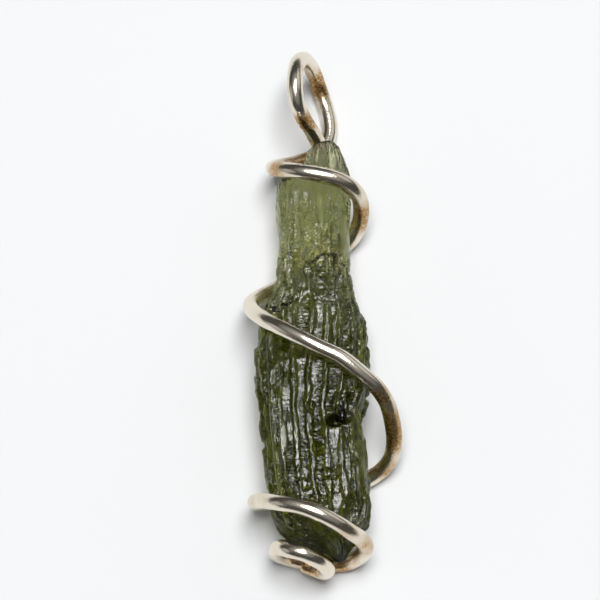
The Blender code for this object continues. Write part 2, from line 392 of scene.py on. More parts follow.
@dataclass(frozen=True)
class NaturalGlass:
    """Moldavite: green silica glass, splashed by an impact and etched in the ground.

    Its colour is in its depth, so the eye sees pale sage where it is thin and bottle green where
    it is thick, under small grey glints from every etched facet that faces the light. A dark
    brown, partly clay and partly painted shade, is put in the risers of its ladders, in the net
    of fine grooves and in its deepest hollows, where it stands in for the shadow under their
    overhangs. Its finest etching is too fine for the render to show, so the streaks are drawn an
    eighth of a millimetre apart and the facets a little over a quarter.
    """

    # colours: of its depth, whose density is to the metre, of thin and thick places, and of clay
    # and painted shade
    depth_tint: str = "#C9CE78"
    density: float = 340.0
    thin: str = "#FBFBEA"
    thick: str = "#B2B636"
    clay_and_shade: str = "#1F1B0A"
    ior: float = 1.49

    # roughness, from polished ribs to frosted facets, and how frosted a ladder's floor is
    polish: float = 0.16
    frost: float = 0.30
    floor_frost: float = 0.35

    # the ladders' treads: their height, the place of their crest, and where a riser begins and ends
    ripple_size: float = 0.45
    rung_bend: float = 2.0
    rung_height: float = 0.036
    tread_crest: float = 0.76
    riser: Pair = (0.74, 0.84)
    # how far the risers are darkened: partly clay, partly painted shade of their steep faces
    riser_clay_and_shade: float = 0.62

    # the facets: their spacing, the spread and the least of their lean, and how sharp their rim is
    dot_size: float = 0.29
    dot_spread: Triple = (0.14, 0.16, 0.20)
    dot_lean: Triple = (-0.07, 0.13, 0.28)
    dot_rim: float = 14.0

    # the net of fine grooves: the size of its meshes, and the width of its lines in meshes
    groove_size: Pair = (0.34, 0.20)
    groove_bend: float = 1.1
    groove_line: Pair = (0.02, 0.12)
    groove_depth: float = 0.010
    # how far the grooves' lines are darkened: partly clay, partly painted shade
    groove_clay_and_shade: float = 0.42

    # the lengthways streaks, and how far the other marks wipe them out
    streaks_per_mm: Triple = (8.0, 0.9, 8.0)
    streak_height: float = 0.024
    streak_loss: float = 0.9

    # how unevenly the glass is tinted
    cloud_size: float = 1.6
    cloud_span: Pair = (0.3, 0.7)
    cloud_change: float = 0.25

    def material(self) -> bpy.types.Material:
        """Build the material.

        Returns:
            The material.
        """
        material, tree, output = new_material("moldavite_natural_glass_etched")
        place = add_node(tree, "ShaderNodeTexCoord").outputs["Object"]
        ladder, rung, dots, calm, body, deep = (
            add_node(tree, "ShaderNodeAttribute", {"attribute_name": name}).outputs["Fac"]
            for name in ("ladder", "rung", "dots", "calm", "body", "deep"))
        ripple = add_node(tree, "ShaderNodeTexNoise", {
            "Scale": 1.0 / (self.ripple_size * MM), "Detail": 2.0, "Vector": place})
        marked = add_node(tree, "ShaderNodeMath", {"operation": "MAXIMUM", 0: ladder, 1: dots}).outputs[0]
        tread, riser = self.treads(tree, ripple.outputs["Fac"], rung, ladder)
        facet, inside = self.facets(tree, place, dots)
        streak = self.streaks(tree, place, marked)
        groove = self.grooves(tree, place, ripple.outputs["Color"], marked)

        # a facet's height is already in metres
        bump = add_node(tree, "ShaderNodeBump", {"Distance": self.streak_height * MM, "Height": streak})
        for height, settings in (
                (facet, {"Distance": 1.0}),
                (tread, {"Distance": self.rung_height * MM}),
                (groove, {"Distance": self.groove_depth * MM, "invert": True})):
            bump = add_node(tree, "ShaderNodeBump", {
                **settings, "Height": height, "Normal": bump.outputs["Normal"]})

        # the dark brown, partly clay and partly painted shade in the risers, grooves and hollows
        clay_and_shade_cover = self.clay_and_shade_cover(tree, riser, groove, deep)
        shader = add_node(tree, "ShaderNodeBsdfPrincipled", {
            "Transmission Weight": 1.0, "IOR": self.ior,
            "Base Color": self.tint(tree, place, body, calm, clay_and_shade_cover),
            "Roughness": self.roughness(tree, inside, ladder, calm), "Normal": bump.outputs["Normal"]})
        depth = add_node(tree, "ShaderNodeVolumeAbsorption", {
            "Color": linear(self.depth_tint), "Density": self.density})
        tree.links.new(shader.outputs["BSDF"], output.inputs["Surface"])
        tree.links.new(depth.outputs["Volume"], output.inputs["Volume"])
        return material

    def treads(self, tree: Tree, ripple: Socket, rung: Socket, ladder: Socket) -> tuple[Socket, Socket]:
        """Make the ladders' treads, which rise slowly to a crest and drop at the riser.

        The count of rungs, bent by the ripple, is cut to its fraction, and two straight lines
        turn the fraction into a height.

        Args:
            tree: the node tree.
            ripple: the noise that bends the rungs.
            rung: the count of rungs along the stone.
            ladder: how clear the ladder is, from 0 to 1.

        Returns:
            The height and how far each place is on a riser, both from 0 to 1.
        """
        step = add_node(tree, "ShaderNodeMath", {
            "operation": "MULTIPLY_ADD", 0: ripple, 1: self.rung_bend, 2: rung})
        step = add_node(tree, "ShaderNodeMath", {"operation": "FRACT", 0: step.outputs[0]})
        tread = add_node(tree, "ShaderNodeFloatCurve", {"Value": step.outputs[0]})
        curve = tread.mapping.curves[0]
        curve.points[0].location = (0.0, 0.0)
        curve.points[1].location = (1.0, 0.0)
        curve.points.new(self.tread_crest, 1.0)
        for point in curve.points:
            point.handle_type = "VECTOR"
        tread.mapping.update()
        begin, end = self.riser
        riser = add_node(tree, "ShaderNodeMapRange", {
            "From Min": begin, "From Max": end, "Value": step.outputs[0]})
        height, risen = (
            add_node(tree, "ShaderNodeMath", {"operation": "MULTIPLY", 0: part, 1: ladder})
            for part in (tread.outputs[0], riser.outputs["Result"]))
        return height.outputs[0], risen.outputs[0]

    def facets(self, tree: Tree, place: Socket, dots: Socket) -> tuple[Socket, Socket]:
        """Make the small etched facets, one leaning disc in each random cell.

        A facet's height is the dot product of its random lean and the place, measured from the
        cell's seed. The lean's third number is its reach too, in cells.

        Args:
            tree: the node tree.
            place: the place on the stone.
            dots: how clear the facets are, from 0 to 1.

        Returns:
            The height, in metres, and how far each place is inside a facet, from 0 to 1.
        """
        cells = add_node(tree, "ShaderNodeTexVoronoi", {
            "feature": "F1", "Scale": 1.0 / (self.dot_size * MM), "Vector": place})
        local = add_node(tree, "ShaderNodeVectorMath", {
            "operation": "SUBTRACT", 0: place, 1: cells.outputs["Position"]})
        lean = add_node(tree, "ShaderNodeVectorMath", {
            "operation": "MULTIPLY_ADD", 0: cells.outputs["Color"], 1: self.dot_spread, 2: self.dot_lean})
        facet = add_node(tree, "ShaderNodeVectorMath", {
            "operation": "DOT_PRODUCT", 0: local.outputs[0], 1: lean.outputs[0]})
        reach = add_node(tree, "ShaderNodeSeparateXYZ", {"Vector": lean.outputs[0]})
        inside = add_node(tree, "ShaderNodeMath", {
            "operation": "SUBTRACT", 0: reach.outputs["Z"], 1: cells.outputs["Distance"]})
        inside = add_node(tree, "ShaderNodeMath", {
            "operation": "MULTIPLY", "use_clamp": True, 0: inside.outputs[0], 1: self.dot_rim})
        inside = add_node(tree, "ShaderNodeMath", {
            "operation": "MULTIPLY", 0: inside.outputs[0], 1: dots})
        height = add_node(tree, "ShaderNodeMath", {
            "operation": "MULTIPLY", 0: facet.outputs["Value"], 1: inside.outputs[0]})
        return height.outputs[0], inside.outputs[0]

    def streaks(self, tree: Tree, place: Socket, marked: Socket) -> Socket:
        """Make the fine lengthways streaks: noise drawn out along the stone.

        Args:
            tree: the node tree.
            place: the place on the stone.
            marked: how clear the ladders and facets are, from 0 to 1.

        Returns:
            The height, from 0 to 1.
        """
        stretch = add_node(tree, "ShaderNodeVectorMath", {
            "operation": "MULTIPLY", 0: place, 1: self.streaks_per_mm})
        streaks = add_node(tree, "ShaderNodeTexNoise", {
            "Scale": 1.0 / MM, "Detail": 3.0, "Vector": stretch.outputs[0]})
        left = add_node(tree, "ShaderNodeMath", {
            "operation": "MULTIPLY_ADD", 0: marked, 1: -self.streak_loss, 2: 1.0})
        return add_node(tree, "ShaderNodeMath", {
            "operation": "MULTIPLY", 0: streaks.outputs["Fac"], 1: left.outputs[0]}).outputs[0]

    def grooves(self, tree: Tree, place: Socket, ripple: Socket, marked: Socket) -> Socket:
        """Make the net of fine grooves: the borders of random cells, bent by the ripple.

        Args:
            tree: the node tree.
            place: the place on the stone.
            ripple: the noise that bends the borders.
            marked: how clear the ladders and facets are, from 0 to 1.

        Returns:
            The depth, from 0 to 1.
        """
        wide, tall = self.groove_size
        net = add_node(tree, "ShaderNodeVectorMath", {
            "operation": "DIVIDE", 0: place, 1: (wide * MM, tall * MM, wide * MM)})
        bend = add_node(tree, "ShaderNodeVectorMath", {
            "operation": "MULTIPLY_ADD", 0: ripple, 1: (self.groove_bend,) * 3, 2: net.outputs[0]})
        edges = add_node(tree, "ShaderNodeTexVoronoi", {
            "feature": "DISTANCE_TO_EDGE", "Scale": 1.0, "Vector": bend.outputs[0]})
        middle, rim = self.groove_line
        line = add_node(tree, "ShaderNodeMapRange", {
            "From Min": middle, "From Max": rim, "To Min": 1.0, "To Max": 0.0,
            "Value": edges.outputs["Distance"]})
        return add_node(tree, "ShaderNodeMath", {
            "operation": "MULTIPLY", 0: line.outputs["Result"], 1: marked}).outputs[0]

    def clay_and_shade_cover(self, tree: Tree, riser: Socket, groove: Socket, deep: Socket) -> Socket:
        """Add up the dark brown in the risers, the grooves and the deep places, which is partly clay and
        partly painted shade.

        Args:
            tree: the node tree.
            riser: how far each place is on a riser, from 0 to 1.
            groove: how deep it is in a groove, from 0 to 1.
            deep: the clay and painted shade in its deep place, from 0 to 1.

        Returns:
            How much clay and painted shade covers each place, from 0 to 1.
        """
        total = deep
        for part, share in ((riser, self.riser_clay_and_shade), (groove, self.groove_clay_and_shade)):
            total = add_node(tree, "ShaderNodeMath", {
                "operation": "MULTIPLY_ADD", "use_clamp": True, 0: part, 1: share, 2: total}).outputs[0]
        return total

    def tint(self, tree: Tree, place: Socket, body: Socket, calm: Socket, clay_and_shade_cover: Socket) -> Socket:
        """Mix the glass's tint from thin to thick, unevenly, and the clay and painted shade over it.

        Args:
            tree: the node tree.
            place: the place on the stone.
            body: how thick the stone is, from 0 to 1.
            calm: how smooth and pale it is, from 0 to 1.
            clay_and_shade_cover: how much clay and painted shade covers it, from 0 to 1.

        Returns:
            The colour.
        """
        cloud = add_node(tree, "ShaderNodeTexNoise", {
            "Scale": 1.0 / (self.cloud_size * MM), "Detail": 2.0, "Vector": place})
        low, high = self.cloud_span
        uneven = add_node(tree, "ShaderNodeMapRange", {
            "From Min": low, "From Max": high, "To Min": -self.cloud_change, "To Max": self.cloud_change,
            "Value": cloud.outputs["Fac"]})
        thickness = body
        for operation, change in (("ADD", uneven.outputs["Result"]), ("SUBTRACT", calm)):
            thickness = add_node(tree, "ShaderNodeMath", {
                "operation": operation, "use_clamp": True, 0: thickness, 1: change}).outputs[0]
        clean = add_node(tree, "ShaderNodeMix", {
            "data_type": "RGBA", 0: thickness, 6: linear(self.thin), 7: linear(self.thick)})
        return add_node(tree, "ShaderNodeMix", {
            "data_type": "RGBA", 0: clay_and_shade_cover, 6: clean.outputs[2], 7: linear(self.clay_and_shade)}).outputs[2]

    def roughness(self, tree: Tree, inside: Socket, ladder: Socket, calm: Socket) -> Socket:
        """Frost the facets and smooth places fully, and the ladders' floors in part.

        Args:
            tree: the node tree.
            inside: how far each place is inside a facet, from 0 to 1.
            ladder: how clear the ladder is, from 0 to 1.
            calm: how smooth and pale it is, from 0 to 1.

        Returns:
            The roughness.
        """
        frosted = add_node(tree, "ShaderNodeMath", {
            "operation": "MULTIPLY", 0: ladder, 1: self.floor_frost}).outputs[0]
        for part in (inside, calm):
            frosted = add_node(tree, "ShaderNodeMath", {
                "operation": "MAXIMUM", 0: part, 1: frosted}).outputs[0]
        return add_node(tree, "ShaderNodeMapRange", {
            "To Min": self.polish, "To Max": self.frost, "Value": frosted}).outputs["Result"]


@dataclass(frozen=True)
class DrawnSilver:
    """Sterling silver: round drawn wire, bent by hand, polished and lightly tarnished.

    It mirrors the light and the paper in long soft streaks. A thin beige film warms it, and has
    turned golden brown inside the bends, where specks of bright metal show through it; inside the
    bail the brown is partly painted reflection. Its scratches and specks are too fine for the
    render to show, so they are drawn about a tenth of a millimetre across.
    """

    # colours: of bare metal, of the film half grown and fully grown, and how far half grown is
    bright: str = "#E6DDCB"
    film: str = "#B08A52"
    dark_film: str = "#5E4424"
    film_share: float = 0.55

    # roughness, of bare metal and under the film
    polish: float = 0.20
    worn: float = 0.36

    # the film's blotches and the specks that break it, by size in millimetres
    blotch_size: float = 1.6
    blotch_span: Pair = (0.35, 0.75)
    blotch_change: Pair = (-0.25, 0.35)
    speck_size: float = 0.13
    speck_span: Pair = (0.38, 0.64)
    speck_cover: float = 0.40
    speck_height: float = 0.008

    # the scratches along the wire
    scratches_per_mm: Triple = (9.0, 9.0, 0.5)
    scratch_height: float = 0.006

    def material(self) -> bpy.types.Material:
        """Build the material.

        Returns:
            The material.
        """
        material, tree, output = new_material("sterling_silver_drawn_tarnished")
        place = add_node(tree, "ShaderNodeTexCoord").outputs["Object"]
        strand = add_node(tree, "ShaderNodeAttribute", {"attribute_name": "strand"}).outputs["Vector"]
        speck = add_node(tree, "ShaderNodeTexNoise", {
            "Scale": 1.0 / (self.speck_size * MM), "Detail": 3.0, "Vector": place})
        amount, film = self.tarnish_and_reflection(tree, place, speck.outputs["Fac"])
        colour = add_node(tree, "ShaderNodeValToRGB", {"Fac": film})
        stops = colour.color_ramp.elements
        stops[0].color, stops[1].color = linear(self.bright), linear(self.dark_film)
        stops.new(self.film_share).color = linear(self.film)
        rough = add_node(tree, "ShaderNodeMapRange", {
            "To Min": self.polish, "To Max": self.worn, "Value": amount})
        stretch = add_node(tree, "ShaderNodeVectorMath", {
            "operation": "MULTIPLY", 0: strand, 1: self.scratches_per_mm})
        scratch = add_node(tree, "ShaderNodeTexNoise", {
            "Scale": 1.0, "Detail": 3.0, "Vector": stretch.outputs[0]})
        bump = add_node(tree, "ShaderNodeBump", {
            "Distance": self.scratch_height * MM, "Height": scratch.outputs["Fac"]})
        bump = add_node(tree, "ShaderNodeBump", {
            "Distance": self.speck_height * MM, "Height": speck.outputs["Fac"],
            "Normal": bump.outputs["Normal"]})
        shader = add_node(tree, "ShaderNodeBsdfPrincipled", {
            "Metallic": 1.0, "Base Color": colour.outputs["Color"], "Roughness": rough.outputs["Result"],
            "Normal": bump.outputs["Normal"]})
        tree.links.new(shader.outputs["BSDF"], output.inputs["Surface"])
        return material

    def tarnish_and_reflection(self, tree: Tree, place: Socket, speck: Socket) -> tuple[Socket, Socket]:
        """Spread the film in blotches, and break it where specks of bright metal show.

        Args:
            tree: the node tree.
            place: the place on the wire.
            speck: the noise of the specks.

        Returns:
            The film's amount before and after it is broken, from 0 to 1.
        """
        tarnish_and_reflection = add_node(tree, "ShaderNodeAttribute", {"attribute_name": "tarnish_and_reflection"}).outputs["Fac"]
        blotch = add_node(tree, "ShaderNodeTexNoise", {
            "Scale": 1.0 / (self.blotch_size * MM), "Detail": 4.0, "Vector": place})
        patchy, broken = (
            add_node(tree, "ShaderNodeMapRange", {
                "From Min": span[0], "From Max": span[1], "To Min": low, "To Max": high, "Value": noise})
            for noise, span, low, high in (
                (blotch.outputs["Fac"], self.blotch_span, *self.blotch_change),
                (speck, self.speck_span, 1.0, self.speck_cover)))
        amount = add_node(tree, "ShaderNodeMath", {
            "operation": "ADD", "use_clamp": True, 0: tarnish_and_reflection, 1: patchy.outputs["Result"]})
        film = add_node(tree, "ShaderNodeMath", {
            "operation": "MULTIPLY", "use_clamp": True, 0: amount.outputs[0],
            1: broken.outputs["Result"]})
        return amount.outputs[0], film.outputs[0]


@dataclass(frozen=True)
class Furrows:
    """What the furrows do to each point.

    Its fields are the number of the furrow that the point is in, how far it is on the floor and
    on a brink, from 0 to 1, the noise that crumbles it, and how deep it is cut.
    """

    number: np.ndarray
    floor: np.ndarray
    brink: np.ndarray
    crumbs: np.ndarray
    depth: np.ndarray


@dataclass
class EtchedStone:
    """The moldavite splinter: a superellipse section carried along it, with its etched relief."""

    # the grid, and how far its points crowd towards the ends and the front
    rings: int = 408
    sides: int = 240
    ring_crowding: float = 0.35
    front_crowding: float = 0.35

    # the section: its widest line, its roundness in front and behind, and its rounded ends,
    # over whose rounding the etching comes in
    side_level: float = 0.40
    front_power: float = 2.1
    back_power: float = 2.4
    end_length: float = 0.7
    end_power: float = 2.6
    end_etching: Pair = (0.0, 0.9)

    # the shelf: its jagged step up to the body, its sloping facet, where they and its finer
    # etching begin along the stone, and how much less deeply it is etched
    step_jag: LatticeNoise = LatticeNoise(5, (2.2, 1.2, 0.0), octaves=3, size=0.30)
    step_width: Pair = (-0.06, 0.16)
    facet_edge: float = 0.55
    facet_slope: float = 0.55
    facet_fade: Pair = (1.0, 4.0)
    shelf_fade: Pair = (2.0, 4.5)
    shelf_share: float = 0.55

    # where the front, the upper half and the sides begin and end, by the outward direction's z
    front_span: Pair = (0.15, 0.6)
    upper_span: Pair = (-0.2, 0.2)
    side_span: Pair = (0.25, 0.75)

    # the furrows: their number, how their borders wander, in furrows, and how deep they are. A
    # noise that differs from one furrow to the next reads the furrow's number in place of x
    furrows: int = 22
    slow_wander: LatticeNoise = LatticeNoise(11, (0.25, 0.16, 0.25), size=0.50)
    fast_wander: LatticeNoise = LatticeNoise(12, (1.0, 0.6, 1.0), size=0.12)
    furrow_depth: float = 0.26
    strength_mean: float = 0.55
    strength_span: Pair = (0.1, 1.1)
    strength: LatticeNoise = LatticeNoise(21, (7.31, 1.0 / 2.2, 0.0), octaves=2, size=0.55)

    # the ribs between them, the floors' crumbling rims and the brinks, all in furrows
    rib_width: float = 0.16
    rib_change: LatticeNoise = LatticeNoise(22, (7.31 * 1.7, 1.7 / 2.2, 0.0), size=0.08, shift=3.1)
    crumbs: LatticeNoise = LatticeNoise(23, (2.4, 2.0, 2.4), octaves=2)
    crumbled: float = 0.07
    rim: Pair = (-0.05, 0.06)
    brink_width: float = 0.045

    # how far the floors are cut level, from a line a little outside their middles, and swell
    levelling: float = 0.85
    level_line: float = 0.36
    level_most: float = 0.35
    swell: LatticeNoise = LatticeNoise(24, (5.13, 0.95, 0.0), octaves=2)
    swell_height: float = 0.05

    # the notched sides
    notches: LatticeNoise = LatticeNoise(71, (0.35, 0.62, 0.5), size=3.0)
    notch_depth: float = 0.26
    side_crumbs: LatticeNoise = LatticeNoise(72, (1.5, 2.6, 1.5), octaves=2)
    side_crumb_depth: float = 0.05

    # the pits: a few wide ones, and small ones in crowds, whose reaches are in their cells
    wide_pits: LatticeNoise = LatticeNoise(43)
    wide_pit_size: float = 1.7
    wide_pit_reach: float = 0.30
    wide_pit_change: float = 0.12
    wide_pit_depth: float = 0.18
    pits: LatticeNoise = LatticeNoise(41)
    pit_size: Triple = (0.45, 0.60, 0.45)
    pit_reach: float = 0.62
    pit_depth: float = 0.06
    pit_crowds: LatticeNoise = LatticeNoise(42, (0.7, 0.7, 0.7))
    pit_crowd_span: Pair = (-0.25, 0.45)

    # the fine streaks, which the floors and the shelf show less
    streaks: LatticeNoise = LatticeNoise(51, (5.0, 0.7, 5.0), octaves=2)
    streak_depth: float = 0.022
    streak_loss: float = 0.6

    # the places that the etching spared, and how ragged their rims are
    calm_blur: LatticeNoise = LatticeNoise(35, (2.2, 1.0, 2.2), octaves=2, size=0.20)
    calm_span: Pair = (0.1, 0.9)
    calm_share: float = 0.80

    # how far the hollows with clay and painted shade wipe out the etching, and the clay and painted
    # shade in them, and the clay on the floors and on the brinks
    scoop_span: Pair = (0.0, 0.5)
    scoop_share: float = 0.8
    clay_and_shade_span: Pair = (0.05, 0.40)
    floor_clay: float = 0.16

    # the ladders' rungs, whose pitch differs from furrow to furrow, and the patches that have them
    ladder_pitch: float = 0.24
    pitch_least: float = 0.8
    pitch_change: float = 0.5
    rung_shift: float = 5.0
    own: LatticeNoise = LatticeNoise(31)
    ladder_patches: LatticeNoise = LatticeNoise(33, (1.1, 0.6, 1.1))
    ladder_span: Pair = (-0.40, 0.20)
    shelf_ladder_loss: float = 0.8

    # the patches of small facets, which cover the shelf and thin out on the body and at the tip
    dot_patches: LatticeNoise = LatticeNoise(34, (0.8, 0.45, 0.8), shift=9.0)
    dot_span: Pair = (-0.5, 0.0)
    shelf_dots: float = 0.7
    body_dot_loss: float = 0.5
    ladder_dot_loss: float = 0.7
    body_fade: Pair = (0.0, 2.5)
    tip_fade: Pair = (-7.6, -6.6)

    # how thick the glass looks on the body, at the shelf and beyond
    body_thickness: float = 0.55
    thicker_to: Pair = (0.0, 4.0)

    hollows: tuple[Patch, ...] = (
        # crescent, whose dark brown is mostly painted shadow under its overhang
        Patch(1.74, -6.85, 0.85, 0.42, -4.0, 1.00, 0.9),
        Patch(1.44, -7.60, 0.75, 0.62, 35.0, 1.20, 0.9),
        Patch(0.80, -8.02, 0.75, 0.46, 75.0, 1.10, 0.9),
        # lengthways grooves of the shelf
        Patch(0.50, 5.45, 1.50, 0.13, 0.0, 0.30),
        Patch(-2.45, 4.20, 3.30, 0.12, 1.0, 0.25),
        # pits along the left of the body; the first is darkened with clay and painted shade
        Patch(-2.50, -3.10, 0.50, 0.35, 10.0, 0.70, 0.7),
        Patch(-2.85, -6.20, 0.55, 0.30, 0.0, 0.45),
        Patch(-4.00, -6.30, 0.40, 0.60, 0.0, 0.40),
        Patch(-3.60, -11.05, 0.35, 0.60, 0.0, 0.35),
        # groove of the tip
        Patch(0.58, 9.60, 1.40, 0.16, -5.0, 0.45),
        # pit in the middle of the body
        Patch(-0.35, -9.80, 0.50, 0.30, 0.0, 0.45),
    )
    smooth_places: tuple[Patch, ...] = (
        # flake left of the step
        Patch(-1.40, 1.30, 1.30, 0.38, -18.0),
        # right margin, middle and left margin of the shelf
        Patch(1.42, 4.40, 3.00, 0.52, -3.0),
        Patch(-0.10, 6.30, 1.90, 0.42, 0.0),
        Patch(-2.85, 4.40, 3.80, 0.26, 1.0),
        # tip
        Patch(-0.10, 9.60, 1.40, 0.40, -4.0),
        # pale ribs at the left of the body
        Patch(-2.70, -10.30, 1.20, 0.17, -14.0),
        Patch(-2.32, -9.00, 1.30, 0.22, -4.0),
        # right margin of the body
        Patch(2.60, -10.50, 3.00, 0.42, 2.0),
    )

    def base_points(self) -> tuple[np.ndarray, ...]:
        """Place the stone's skin before it is etched.

        A section is a superellipse between the four edges, wider than high, whose widest line
        lies below its middle. Its upper half rises by the crown and is cut off level at the
        front's height, which steps up from the shelf's to the body's across the shelf line. The
        shelf's right side is cut down to a sloping facet, and both ends are rounded off.

        Returns:
            The points by ring and side, each one's fraction of the way around its ring, the
            ring's girth, the rounding of the ends, from 0 at a pole to 1, and how far each
            point is onto the body, from 0 on the shelf to 1.
        """
        along = (np.arange(self.rings) + 0.5) / self.rings
        along = along - self.ring_crowding * np.sin(2.0 * np.pi * along) / (2.0 * np.pi)
        turn = np.arange(self.sides) / self.sides * 2.0 * np.pi - np.pi / 2.0
        around = turn + self.front_crowding * np.cos(turn)
        top, bottom = LEFT_EDGE[0][0], LEFT_EDGE[-1][0]
        y, around = np.meshgrid(top + (bottom - top) * along, around, indexing="ij")
        to_end = np.clip(np.minimum(top - y, y - bottom) / self.end_length, 0.0, 1.0)
        closing = (1.0 - (1.0 - to_end) ** self.end_power) ** (1.0 / self.end_power)
        left, right = read_edge(LEFT_EDGE, y), read_edge(RIGHT_EDGE, y)
        cos, sin = np.cos(around), np.sin(around)
        power = np.where(sin > 0.0, self.front_power, self.back_power)
        unit_x = np.sign(cos) * np.abs(cos) ** (2.0 / power)
        unit_z = np.sign(sin) * np.abs(sin) ** (2.0 / power)
        x = (left + right) / 2.0 + closing * unit_x * (right - left) / 2.0
        jag = self.step_jag.at(np.stack([x, y, 0.0 * x], axis=-1))
        onto_body = ramp(read_edge(SHELF_LINE, x) + jag - y, *self.step_width)
        back, shelf, body = (read_edge(edge, y) for edge in (BACK_EDGE, SHELF_FRONT, BODY_FRONT))
        front = np.minimum(shelf, body) * (1.0 - onto_body) + body * onto_body
        side = back + self.side_level * (front - back)
        crown = read_edge(FRONT_CROWN, y)
        z = side + closing * unit_z * np.where(sin > 0.0, crown * (front - side), side - back)
        z = np.minimum(z, side + closing * (front - side))
        facet = front - self.facet_slope * (x - self.facet_edge)
        over = ramp(y, *self.facet_fade) * np.clip(z - facet, 0.0, None)
        z = np.where(sin > 0.0, z - over, z)
        points = np.stack([x, y, z], axis=-1)
        steps = np.linalg.norm(np.roll(points, -1, axis=1) - points, axis=-1)
        travelled = np.cumsum(steps, axis=1) - steps
        girth = np.sum(steps, axis=1, keepdims=True) + 0.0 * travelled
        return points, travelled / girth, girth, closing, onto_body

    def furrowed(self, points: np.ndarray, normal: np.ndarray, fraction: np.ndarray,
                 girth: np.ndarray) -> Furrows:
        """Cut the lengthways furrows.

        A furrow is a cell of the way around the stone, and its borders wander. It has a rib at
        each border and a floor in its middle. The floor is cut down until it lies level across,
        and swells slowly along its length. Its brinks are narrow bells at the floor's rims.

        Args:
            points: the skin before it is etched.
            normal: the outward directions there.
            fraction: how far around the stone each point is, from 0 to 1.
            girth: the length around the stone at each point.

        Returns:
            The furrows.
        """
        cell = fraction * self.furrows + self.slow_wander.at(points) + self.fast_wander.at(points)
        number = np.mod(np.floor(cell), self.furrows)
        offset = cell - np.floor(cell) - 0.5
        y = points[..., 1]
        lane = np.stack([number, y, 0.0 * y], axis=-1)
        strength = np.clip(self.strength_mean + self.strength.at(lane), *self.strength_span)
        rib = self.rib_width + self.rib_change.at(lane)
        crumbs = self.crumbs.at(points)
        floor = ramp(0.5 - rib - np.abs(offset) + self.crumbled * crumbs, *self.rim)
        width, lean = girth / self.furrows, normal[..., 0]
        front = ramp(normal[..., 2], *self.front_span)
        level = offset * width * lean + self.level_line * width * np.abs(lean)
        depth = floor * self.furrow_depth * strength
        depth = depth + floor * front * self.levelling * np.clip(level, 0.0, self.level_most)
        depth = depth + self.swell_height * floor * (1.0 + self.swell.at(lane))
        brink = np.exp(-((np.abs(offset) - 0.5 + rib) / self.brink_width) ** 2) * strength
        return Furrows(number, floor, brink, crumbs, depth)

    def notched(self, points: np.ndarray, normal: np.ndarray) -> np.ndarray:
        """Notch the upright sides where a smooth noise passes zero, and crumble them.

        Args:
            points: the skin before it is etched.
            normal: the outward directions there.

        Returns:
            The depth.
        """
        upright = 1.0 - ramp(np.abs(normal[..., 2]), *self.side_span)
        notch = np.clip(1.0 - np.abs(self.notches.at(points)), 0.0, 1.0)
        crumbled = self.side_crumb_depth * (1.0 + self.side_crumbs.at(points))
        return upright * (self.notch_depth * notch + crumbled)

    def pitted(self, points: np.ndarray, crumbs: np.ndarray) -> np.ndarray:
        """Hollow out a bowl round each random seed: one, less the square of the distance.

        Args:
            points: the skin before it is etched.
            crumbs: the noise that makes the wide pits' rims uneven.

        Returns:
            The depth.
        """
        reach = self.wide_pit_reach + self.wide_pit_change * crumbs
        wide = self.wide_pits.nearest(points / self.wide_pit_size) / reach
        small = self.pits.nearest(points / np.array(self.pit_size)) / self.pit_reach
        wide, small = (np.clip(1.0 - distance ** 2, 0.0, 1.0) for distance in (wide, small))
        crowded = ramp(self.pit_crowds.at(points), *self.pit_crowd_span)
        return self.wide_pit_depth * wide + self.pit_depth * small * crowded

    def spared(self, points: np.ndarray, normal: np.ndarray) -> np.ndarray:
        """Mark the smooth places, with ragged rims, on the upper side.

        Args:
            points: the skin before it is etched.
            normal: the outward directions there.

        Returns:
            How far the etching spared each point, from 0 to 1.
        """
        above, blur = ramp(normal[..., 2], *self.upper_span), self.calm_blur.at(points)
        bowls = (place.inside(points[..., 0], points[..., 1]) for place in self.smooth_places)
        return np.max([ramp(bowl + blur, *self.calm_span) * above for bowl in bowls], axis=0)

    def scooped(self, points: np.ndarray, front: np.ndarray) -> tuple[np.ndarray, ...]:
        """Scoop out the listed hollows, joining them by the deepest.

        Args:
            points: the skin before it is etched.
            front: how far each point is on the front, from 0 to 1.

        Returns:
            The depth, how far the etching is scooped away, and the clay and painted shade left there.
        """
        bowls = [place.inside(points[..., 0], points[..., 1]) * front for place in self.hollows]
        pairs = list(zip(self.hollows, bowls))
        return (np.max([place.depth * bowl for place, bowl in pairs], axis=0),
                np.max([place.clay_and_shade * ramp(bowl, *self.scoop_span) for place, bowl in pairs], axis=0),
                np.max([place.clay_and_shade * ramp(bowl, *self.clay_and_shade_span) for place, bowl in pairs], axis=0))

    def etching(self, points: np.ndarray, normal: np.ndarray, fraction: np.ndarray,
                girth: np.ndarray) -> dict[str, np.ndarray]:
        """Work out how the etching has eaten each point.

        The depths of the furrows, notches, pits and streaks are added up, lessened on the shelf
        and nearly undone in smooth places, and the listed hollows come last. A ladder of treads
        runs along each floor, in patches, and small facets lie in patches between.

        Args:
            points: the skin before it is etched.
            normal: the outward directions there.
            fraction: how far around the stone each point is, from 0 to 1.
            girth: the length around the stone at each point.

        Returns:
            The depth in millimetres, and the measures that the material reads, by name.
        """
        y = points[..., 1]
        front, shelf = ramp(normal[..., 2], *self.front_span), ramp(y, *self.shelf_fade)
        cut = self.furrowed(points, normal, fraction, girth)
        depth = cut.depth + self.notched(points, normal) + self.pitted(points, cut.crumbs)
        kept = 1.0 - self.streak_loss * np.maximum(cut.floor, shelf) * front
        depth = depth + self.streak_depth * (1.0 + self.streaks.at(points)) * kept

        calm = self.spared(points, normal)
